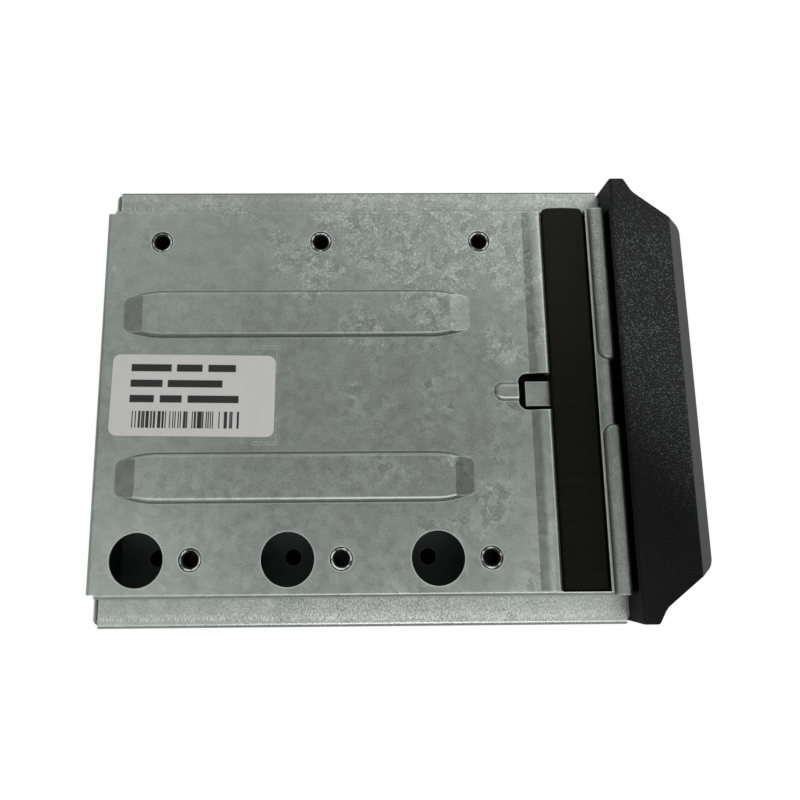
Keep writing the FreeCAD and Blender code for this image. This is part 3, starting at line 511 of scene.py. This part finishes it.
# %% Galvanised sheet
SHEET_EDGE = 0.12 * MM
EDGE_FINDER_RADIUS = 0.85 * MM
EDGE_AGREES = (0.9, 0.985)
KEPT_DARK = (1.0, 1.3)
ZINC_DARK = grey(0.29, ZINC_TINT)
ZINC_LIGHT = grey(0.51, ZINC_TINT)
# Colours of the marks; all but the scratches, rubs, streaks, grit and wear are painted light or shade.
RUBBED_AND_LIT = grey(0.82, (0.97, 1.0, 0.97))
STREAKED_AND_SHADED = grey(0.14, (1.0, 1.0, 0.94))
BEND_SHADE = grey(0.09, ZINC_TINT)
WORN_AND_HIGHLIT = grey(0.85, ZINC_TINT)
CREASE_SHADE = grey(0.05, ZINC_TINT)
INSIDE_SHADE = grey(0.02, (0.72, 1.0, 1.15))
GRAIN_DEPTH = 0.05 * MM
GRAIN_STRENGTH = 0.12
SHEET_METAL = 0.9
SHEET_ROUGH = 0.33
TONE_ROUGH = 0.1
SHADED_INSIDE_ROUGH = 0.2
RUBBED_AND_LIT_SHARE, STREAKED_AND_SHADED_SHARE, BEND_SHADE_SHARE = 0.9, 0.5, 0.6
WORN_HIGHLIGHT_SHARE, CREASE_SHADE_SHARE, INSIDE_SHADE_SHARE = 0.8, 0.85, 0.68


def worn_and_highlit_edges(zinc, spot, bend_shading):
    """Share of zinc worn and painted bright as a highlight on sharp edges, apart from the far outer fold.
    """
    sockets = {0: rounded_edges(zinc, EDGE_FINDER_RADIUS), 1: spot.direction}
    agree = zinc.node("ShaderNodeVectorMath", {"operation": "DOT_PRODUCT"}, sockets, out="Value")
    return (1 - rise(zinc, agree, *EDGE_AGREES)) * (1 - rise(zinc, bend_shading, *KEPT_DARK))


def galvanised_sheet():
    zinc = Finish("galvanised_sheet")
    spot = Spot(zinc)
    tilt, tone, grain = zinc_crystals(zinc, spot)
    bend_shading = painted_bend_shade(zinc, spot)
    inside_shade = painted_inside_shade(zinc, spot)
    # Each mark below paints light or shade, some of them together with rubs, streaks or wear.
    marks = (
        (RUBBED_AND_LIT_SHARE * rubbed_and_lit_ledge(zinc, spot), RUBBED_AND_LIT),
        (STREAKED_AND_SHADED_SHARE * streaked_and_shaded_lip(zinc, spot), STREAKED_AND_SHADED),
        (BEND_SHADE_SHARE * bend_shading, BEND_SHADE),
        (WORN_HIGHLIGHT_SHARE * worn_and_highlit_edges(zinc, spot, bend_shading), WORN_AND_HIGHLIT),
        (CREASE_SHADE_SHARE * painted_crease_shade(zinc), CREASE_SHADE),
        (INSIDE_SHADE_SHARE * inside_shade, INSIDE_SHADE))
    colour = blend(zinc, tone, ZINC_DARK, ZINC_LIGHT, stop=False)
    for share, mark in marks:
        colour = blend(zinc, share, colour, mark)
    tilted = vectors(zinc, "ADD", rounded_edges(zinc, SHEET_EDGE), tilt)
    normal = relief(zinc, grain, GRAIN_STRENGTH, GRAIN_DEPTH, Normal=tilted)
    roughness = SHEET_ROUGH + swing(tone, TONE_ROUGH) + SHADED_INSIDE_ROUGH * inside_shade
    zinc.surface(Base_Color=colour, Metallic=SHEET_METAL, Roughness=roughness, Normal=normal)
    return zinc


dress(galvanised_sheet(), "side_cover", "base_tray", "gasket_bracket")

# %% [markdown]
# The standoffs are turned on a lathe, clinched into the tray and plated. On the flat of an open end the
# room's reflection is painted in smears, brighter and darker than the sheet around it, while its bore
# and every face that isn't flat are painted dark as shade.
# Height and direction together find the open ends. The threads are too fine to model one by one
# here, so rings of relief along the height of the bore stand for them. The rivets in the skirts get the
# same finish without the smears.

# %% Turned steel
THREAD_PITCH = 0.8 * MM
THREAD_DEPTH = 0.2 * MM
THREAD_STRENGTH = 0.5
STEEL_ROUGH = (0.28, 0.48)
SMEAR_BLOTCH = 2 * MM
SMEARED_FROM = (0.4, 0.62)
RIVETS_FROM = (60 * MM, 61 * MM)
RIVET_REFLECTION = 0.3
OPEN_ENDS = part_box("standoffs")[1].z
END_DEPTHS = (0.25 * MM, 0.1 * MM)
FLAT_ENDS = (0.5, 0.65)
STEEL_EDGE = 0.25 * MM
# Darkest and lightest of the reflection painted on the open ends.
REFLECTED_DARK = grey(0.16, ZINC_TINT)
REFLECTED_LIGHT = grey(0.9, ZINC_TINT)
# Painted shade in the bores and on faces that aren't flat.
BORE_SHADE = grey(0.02)


def turned_steel():
    steel = Finish("turned_steel")
    spot = Spot(steel)
    turns = spot.z.maths("SINE", spot.z * (math.tau / THREAD_PITCH))
    smear = cloud(steel, spot.place, SMEAR_BLOTCH, detail=1.0)
    rivets = rise(steel, abs(spot.y), *RIVETS_FROM)
    at_end = rise(steel, spot.z, OPEN_ENDS - END_DEPTHS[0], OPEN_ENDS - END_DEPTHS[1]) * spot.upward
    flat = rise(steel, larger(at_end, rivets * abs(spot.sideways)), *FLAT_ENDS)
    # Painted reflection: smears on the open ends, one even tone on the rivets.
    painted_reflection = rise(steel, smear, *SMEARED_FROM) * (1 - rivets) + RIVET_REFLECTION * rivets
    reflected = blend(steel, painted_reflection, REFLECTED_DARK, REFLECTED_LIGHT)
    normal = relief(steel, turns, THREAD_STRENGTH, THREAD_DEPTH, Normal=rounded_edges(steel, STEEL_EDGE))
    colour = blend(steel, flat, BORE_SHADE, reflected)
    steel.surface(Base_Color=colour, Metallic=1.0, Roughness=span(smear, *STEEL_ROUGH), Normal=normal)
    return steel


dress(turned_steel(), "standoffs", "skirt_rivets")

# %% [markdown]
# The bezel is moulded in a mould whose steel was etched, so its faces have a fine pebbled grain that
# glitters, while the bevel along its long front edges is smooth and is painted lighter, as light that
# falls on it. A fine cloud makes the pebbles as relief, their tips are painted lighter as highlights,
# and a few chosen cells are painted as glints. A mask from the surface's own direction leaves all three
# off the bevels. Towards the near end the relief, the highlights and the glints fade out, which paints
# that end darker, as shade. The hidden rear faces are rougher, so that they mirror nothing.

# %% Moulded plastic
PLASTIC_TINT = (0.97, 1.03, 1.0)
PLASTIC_DARK = grey(0.001, PLASTIC_TINT)
PLASTIC_LIGHT = grey(0.004, PLASTIC_TINT)
# Painted highlights on the bevel, on the pebbles' tips and in the glints.
BEVEL_HIGHLIGHT = grey(0.02, PLASTIC_TINT)
PEBBLE_HIGHLIGHT = grey(0.085, PLASTIC_TINT)
PAINTED_GLINT = grey(0.32, PLASTIC_TINT)
PEBBLE = 0.25 * MM
PEBBLE_DEPTH = 0.3 * MM
PEBBLE_STRENGTH = 0.3
PEBBLE_ROUGH = 0.1
SIDE_ROUGH = (0.75, 0.2)
PLASTIC_GLOSS = 0.22
TIPS_FROM = (0.48, 0.72)
GLINT = 0.29 * MM
GLINTS_FROM = (0.8, 0.85)
GLINT_REACH = (0.2, 0.5)
SMUDGE_BLOTCH = 18 * MM
SMUDGE_REACH = 12 * MM
# Where the painted shade towards the near end fades out, along a slanted line.
SHADE_FADE = (-40 * MM, 10 * MM)
SHADE_LEAN = 1.2
SHADE_AT = 80 * MM
FAR_END = (44 * MM, 62 * MM)
FAR_END_LOSS = 0.6
LEAST_ETCHED = 0.05
BEVEL_LEAN = (0.25, 0.45)
FRONT_LEAN = (0.75, 0.9)
REAR_LEAN = (-0.8, -0.5)
PLASTIC_EDGE = 0.5 * MM


def grain_and_light_share(plastic, spot, smudge, bevelled):
    """Share of etched grain and its painted highlights that is kept, from 0 to 1: less towards the near
    end, as painted shade, and less at the far tip.
    """
    line = spot.y + SHADE_LEAN * (spot.x - SHADE_AT) + swing(smudge, SMUDGE_REACH)
    lit_part = rise(plastic, line, *SHADE_FADE) * (1 - FAR_END_LOSS * rise(plastic, spot.y, *FAR_END))
    return (1 - bevelled) * span(lit_part, LEAST_ETCHED, 1.0)


def moulded_plastic():
    plastic = Finish("moulded_plastic")
    spot = Spot(plastic)
    smudge = cloud(plastic, spot.place, SMUDGE_BLOTCH)
    bevelled = rise(plastic, spot.forward, *BEVEL_LEAN) * (1 - rise(plastic, spot.forward, *FRONT_LEAN))
    grain_and_light = grain_and_light_share(plastic, spot, smudge, bevelled)
    pebble = cloud(plastic, spot.place, PEBBLE, detail=1.0)
    chosen = rise(plastic, level(plastic, cells(plastic, spot.place, GLINT)), *GLINTS_FROM)
    away = cells(plastic, spot.place, GLINT, out="Distance")
    painted_glints = grain_and_light * chosen * (1 - rise(plastic, away, *GLINT_REACH))
    colour = blend(plastic, smudge, PLASTIC_DARK, PLASTIC_LIGHT)
    colour = blend(plastic, bevelled, colour, BEVEL_HIGHLIGHT)
    colour = blend(plastic, grain_and_light * rise(plastic, pebble, *TIPS_FROM), colour, PEBBLE_HIGHLIGHT)
    colour = blend(plastic, painted_glints, colour, PAINTED_GLINT)
    rounded = rounded_edges(plastic, PLASTIC_EDGE)
    normal = relief(plastic, grain_and_light * pebble, PEBBLE_STRENGTH, PEBBLE_DEPTH, Normal=rounded)
    roughness = span(rise(plastic, spot.forward, *REAR_LEAN), *SIDE_ROUGH) + PEBBLE_ROUGH * pebble
    plastic.surface(Base_Color=colour, Roughness=roughness, Specular_IOR_Level=PLASTIC_GLOSS, Normal=normal)
    return plastic


dress(moulded_plastic(), "front_bezel")

# %% [markdown]
# The label is plain paper with a print of its own: three rows of solid bars where text would be, and
# a row of upright bars of differing width below them. The print is drawn by sums on the place of each
# point on the paper, so there is no picture. The label sits a little crooked, so its own two axes are
# measured first.

# %% Printed label
LABEL_TURN = math.radians(-0.9)
LABEL_ROWS = (
    (8.5 * MM, ((-19.5, -7.0), (-5.4, 2.6), (4.4, 13.0))),
    (3.6 * MM, ((-19.5, -9.6), (-8.0, 9.0))),
    (-1.2 * MM, ((-19.5, -12.0), (-10.2, -3.4), (-1.6, 14.2))))
ROW_HALF = 1.15 * MM
STRIPE_WIDTH = 0.33 * MM
STRIPED_FROM = (0.45, 0.55)
STRIPES_ALONG = (-19.5 * MM, 14.8 * MM)
STRIPES_ACROSS = (-10.2 * MM, -5.0 * MM)
PAPER_TINT = (1.0, 1.0, 0.96)
PAPER_DARK = grey(0.56, PAPER_TINT)
PAPER_LIGHT = grey(0.68, PAPER_TINT)
INK = grey(0.012)
FIBRE_BLOTCH = 0.4 * MM
FIBRE_DEPTH = 0.05 * MM
FIBRE_STRENGTH = 0.1
PAPER_ROUGH = (0.55, 0.65)
STAIN_BLOTCH = 9 * MM


def print_on(paper, along, across):
    """1 where the label is printed, 0 where it is bare."""
    ink = 0.0
    for height, bars in LABEL_ROWS:
        row = between(paper, across, height - ROW_HALF, height + ROW_HALF)
        for start, end in bars:
            ink = ink + row * between(paper, along, start * MM, end * MM)
    column = along.maths("FLOOR", along * (1 / STRIPE_WIDTH))
    chance = paper.node("ShaderNodeTexWhiteNoise", {"noise_dimensions": "1D"}, {"W": column})
    stripes = rise(paper, chance, *STRIPED_FROM) * between(paper, along, *STRIPES_ALONG)
    return ink + stripes * between(paper, across, *STRIPES_ACROSS)


def printed_label():
    paper = Finish("printed_label")
    low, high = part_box("spare_label")
    own_place = paper.node("ShaderNodeTexCoord", out="Object")
    place = vectors(paper, "SUBTRACT", own_place, tuple((low + high) / 2))
    turned = paper.node(
        "ShaderNodeVectorRotate", {"rotation_type": "Z_AXIS"}, {"Vector": place, "Angle": -LABEL_TURN})
    along, across = axes(paper, turned)[:2]
    fibre = cloud(paper, place, FIBRE_BLOTCH, detail=4.0)
    stain = cloud(paper, place, STAIN_BLOTCH)
    sheet = blend(paper, HALF * fibre + HALF * stain, PAPER_DARK, PAPER_LIGHT)
    colour = blend(paper, print_on(paper, along, across), sheet, INK)
    normal = relief(paper, fibre, FIBRE_STRENGTH, FIBRE_DEPTH)
    paper.surface(Base_Color=colour, Roughness=span(fibre, *PAPER_ROUGH), Normal=normal)
    return paper


dress(printed_label(), "spare_label")

# %% [markdown]
# The black strip in the window is foam that seals against the next blade. A box would look hard, so
# the strip is lofted here: one rounded section is repeated along its length, drawn in at the rounded
# far end, crowned along its middle and pressed a little unevenly, as foam is.

# %% Foam strip
STRIP_STEPS = 140
END_STEPS = 10
SHOULDER = 0.9 * MM
SHOULDER_STEPS = 6
CROWN = 0.35 * MM
CROWN_STEPS = 8
END_ROUND = 2.0 * MM
PRESS = 0.1 * MM
PRESS_WAVE = 9 * MM
PRESS_CHANCE = 0.3
FOAM_SEED = 7
QUARTER_TURN = math.pi / 2


def strip_section(half, bottom, top):
    """Section across the strip, from one foot over the crown to the other."""
    points = [(-half, bottom)]
    for step in range(SHOULDER_STEPS + 1):
        angle = QUARTER_TURN * step / SHOULDER_STEPS
        drop = CROWN + SHOULDER * (1 - math.sin(angle))
        points.append((-half + SHOULDER * (1 - math.cos(angle)), top - drop))
    for step in range(1, CROWN_STEPS):
        share = step / CROWN_STEPS
        points.append(((half - SHOULDER) * (2 * share - 1), top - CROWN * (1 - math.sin(math.pi * share))))
    shoulder = points[1:SHOULDER_STEPS + 2]
    points += [(-x, z) for x, z in reversed(shoulder)]
    return points + [(half, bottom)]


def strip_stations(near, far):
    """Places along the strip, each with how far the section is drawn in there."""
    straight = far - END_ROUND
    stations = [(near + (straight - near) * step / STRIP_STEPS, 0.0) for step in range(STRIP_STEPS + 1)]
    for step in range(1, END_STEPS + 1):
        angle = QUARTER_TURN * step / END_STEPS
        stations.append((straight + END_ROUND * math.sin(angle), END_ROUND * (1 - math.cos(angle))))
    return stations


def strip_rings(mesh, low, high):
    """Rings of points along the strip, added to a mesh."""
    middle, half = (low.x + high.x) / 2, (high.x - low.x) / 2
    draw = random.Random(FOAM_SEED)
    rings = []
    for y, inset in strip_stations(low.y, high.y):
        dent = PRESS * (PRESS_CHANCE * draw.random() + HALF - HALF * math.sin(y / PRESS_WAVE))
        top = high.z - dent - SHOULDER * inset / END_ROUND
        ring = strip_section(half - inset, low.z, top)
        rings.append([mesh.verts.new((middle + x, y, z)) for x, z in ring])
    return rings


def foam_strip():
    low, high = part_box("front_gasket")
    mesh = bmesh.new()
    rings = strip_rings(mesh, low, high)
    for first, second in zip(rings, rings[1:]):
        for i in range(len(first)):
            following = (i + 1) % len(first)
            mesh.faces.new((first[i], first[following], second[following], second[i]))
    mesh.faces.new(reversed(rings[0]))
    mesh.faces.new(rings[-1])
    bmesh.ops.recalc_face_normals(mesh, faces=mesh.faces)
    data = bpy.data.meshes.new("foam_strip")
    mesh.to_mesh(data)
    mesh.free()
    data.shade_smooth()
    strip = bpy.data.objects.new("foam_strip", data)
    bpy.context.scene.collection.objects.link(strip)
    print("foam strip:", len(data.vertices), "points")
    return strip


strip = foam_strip()
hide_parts("front_gasket")
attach(strip, "root")

# %% [markdown]
# Foam has a fine open skin, nearly without gloss. Faint bands run across it, where it was pressed, and
# towards its far end it is painted a little lighter, as light.

# %% Foam finish
PORE = 0.35 * MM
PORE_DEPTH = 0.08 * MM
PORE_STRENGTH = 0.4
PORE_TONE = 0.3
BAND_TONE = 0.65
FOAM_ROUGH = (0.75, 0.85)
FOAM_GLOSS = 0.12
BAND_SIZES = (30 * MM, 2 * MM, 30 * MM)
# The far end of the strip is painted lighter, as light.
FAR_LIGHT_REACH = (-10 * MM, 60 * MM)
FAR_LIGHT_SHARE = 0.9
FOAM_DARK = grey(0.001)
FOAM_LIGHT = grey(0.011, (1.0, 1.02, 0.92))


def black_foam():
    foam = Finish("black_foam")
    place = foam.node("ShaderNodeTexCoord", out="Object")
    pores = cells(foam, place, PORE, out="Distance")
    bands = drawn_out(foam, place, BAND_SIZES, detail=3.0)
    far_light = FAR_LIGHT_SHARE * rise(foam, axes(foam, place)[1], *FAR_LIGHT_REACH)
    tone = PORE_TONE * pores + BAND_TONE * bands + far_light
    foam.surface(
        Base_Color=blend(foam, tone, FOAM_DARK, FOAM_LIGHT, stop=False), Roughness=span(bands, *FOAM_ROUGH),
        Specular_IOR_Level=FOAM_GLOSS, Normal=relief(foam, pores, PORE_STRENGTH, PORE_DEPTH))
    return foam


strip.data.materials.append(black_foam().material)
print("black_foam on", strip.name)

# %% [markdown]
# The floor is a plain pale sheet, far larger than the object, that takes its soft shadow. To look
# white it glows a little for rays that come from the camera, from glossy metal or through glass, and
# for these alone: as a lamp it would light the object from below. Right under the object it doesn't
# glow, and its colour is painted dark there as the object's shadow, which shows through the screw
# holes.

# %% Floor
FLOOR_HALF = 3.0
FLOOR_DROP = 0.05 * MM
FLOOR_GLOW = 0.9
GLOW_STRENGTH = 1.05
DRAWN_IN = 3 * MM
FLOOR_ROUGH = 0.9
FLOOR_PALE = grey(0.9)
# Painted shadow of the object, under it.
FLOOR_SHADOW = grey(0.01)


def seen_rays(board):
    """1 for rays from the camera, from gloss and through glass, 0 for others."""
    seen = board.node("ShaderNodeLightPath", out="Is Camera Ray")
    for kind in ("Is Glossy Ray", "Is Transmission Ray"):
        seen = larger(seen, board.node("ShaderNodeLightPath", out=kind))
    return seen


def pale_floor():
    pale = Finish("pale_floor")
    x, y = axes(pale, pale.node("ShaderNodeTexCoord", out="Object"))[:2]
    low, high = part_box("base_tray")
    covered = between(pale, x, low.x + DRAWN_IN, high.x - DRAWN_IN)
    covered = covered * between(pale, y, low.y + DRAWN_IN, high.y - DRAWN_IN)
    pale.surface(Base_Color=blend(pale, covered, FLOOR_PALE, FLOOR_SHADOW), Roughness=FLOOR_ROUGH)
    seen = seen_rays(pale) * (1 - covered)
    glow = pale.node("ShaderNodeEmission", {}, {"Strength": GLOW_STRENGTH})
    matt = Wire(pale, pale.shader.outputs["BSDF"])
    mixed = pale.node("ShaderNodeMixShader", {}, {0: FLOOR_GLOW * seen, 1: matt, 2: glow})
    pale.fill(pale.tree.nodes["Material Output"].inputs["Surface"], mixed)
    return pale


def floor():
    data = bpy.data.meshes.new("floor")
    signs = ((-1, -1), (1, -1), (1, 1), (-1, 1))
    data.from_pydata([(x * FLOOR_HALF, y * FLOOR_HALF, 0) for x, y in signs], [], [(0, 1, 2, 3)])
    sheet = bpy.data.objects.new("floor", data)
    sheet.location.z = cad_low.z - FLOOR_DROP
    bpy.context.scene.collection.objects.link(sheet)
    data.materials.append(pale_floor().material)
    print("floor at", round(sheet.location.z / MM, 2), "mm")


floor()

# %% [markdown]
# Metal shows what it mirrors, so the studio around it matters more than the lamps. Here the sky is dim
# straight above, where the camera stands, and dimmer towards the front and the rear. It is bright over
# the near side and over the far corner at the front, and dark again low down. That draws the ramps,
# the shoulders and the folds of the sheet. The horizon itself is white for the same rays that see the
# floor glow, so that the two meet without a line. A soft panel above the near side and one at the
# right add the lines of light along the folds.

# %% Light
SKY_CENTRE = 0.31
SKY_NEAR = 0.72
SKY_FAR = 1.0
SKY_LOW = 0.3
CENTRE_SHIFT = 0.1
CENTRE_REACH = (0.1, 0.55)
CENTRE_LOSS = 0.72
NEAR_REACH = (-0.25, 0.0)
NEAR_LOW = (-0.75, -0.5)
NEAR_LEAST = 0.12
FAR_REACH = (0.08, 0.35)
FAR_CORNER = (0.0, 0.55)
FAR_SHARES = (0.4, 1.3)
LOW_REACH = (0.1, 0.45)
HORIZON = (0.12, 0.25)
LAMPS_AIM = Vector((0, 0, 0.02))


def studio_sky():
    world = bpy.data.worlds.new("studio_sky")
    world.use_nodes = True
    sky = Board(world.node_tree)
    x, y, z = axes(sky, sky.node("ShaderNodeTexCoord", out="Generated"))
    middle = 1 - CENTRE_LOSS * rise(sky, abs(x + CENTRE_SHIFT), *CENTRE_REACH)
    near = (1 - rise(sky, y, *NEAR_REACH)) * span(rise(sky, y, *NEAR_LOW), NEAR_LEAST, 1.0)
    far = rise(sky, y, *FAR_REACH) * span(rise(sky, x, *FAR_CORNER), *FAR_SHARES)
    height = span(rise(sky, z, *LOW_REACH), SKY_LOW, 1.0)
    strength = (SKY_CENTRE * middle + SKY_NEAR * near + SKY_FAR * far) * height
    horizon = seen_rays(sky) * (1 - rise(sky, z, *HORIZON))
    background = sky.tree.nodes["Background"]
    sky.fill(background.inputs["Strength"], strength * (1 - horizon) + horizon)
    sky.fill(background.inputs["Color"], grey(1.0))
    bpy.context.scene.world = world


def panel(name, place, size, power):
    """Soft square lamp that looks at the object."""
    data = bpy.data.lights.new(name, "AREA")
    data.size = size
    data.energy = power
    lamp = bpy.data.objects.new(name, data)
    lamp.location = place
    lamp.rotation_euler = (LAMPS_AIM - Vector(place)).to_track_quat("-Z", "Y").to_euler()
    bpy.context.scene.collection.objects.link(lamp)
    print(name, "of", power, "W at", place)


studio_sky()
panel("near_panel", place=(0.1, -0.55, 1.0), size=0.5, power=1.5)
panel("right_panel", place=(1.0, 0.15, 0.3), size=0.6, power=2.0)

# %% [markdown]
# The camera stands almost above the object, a little to its near side. Its picture is shifted, because
# the photograph's frame isn't centred on the direction in which the lens looks.

# %% Camera
SENSOR_WIDTH = 36.0
FOCAL_LENGTH = 42.64
SHIFT = (0.0533, -0.1326)
CAMERA_PLACE = Vector((-16.52, -44.89, 329.91)) * MM
CAMERA_ANGLES = (14.716, -0.871, -0.456)

lens = bpy.data.cameras.new("camera")
lens.sensor_width = SENSOR_WIDTH
lens.lens = FOCAL_LENGTH
lens.shift_x, lens.shift_y = SHIFT
camera = bpy.data.objects.new("camera", lens)
camera.location = CAMERA_PLACE
camera.rotation_euler = [math.radians(angle) for angle in CAMERA_ANGLES]
bpy.context.scene.collection.objects.link(camera)
bpy.context.scene.camera = camera
bpy.context.scene.view_settings.view_transform = "Standard"
print("camera at", [round(side / MM, 1) for side in camera.location], "mm")
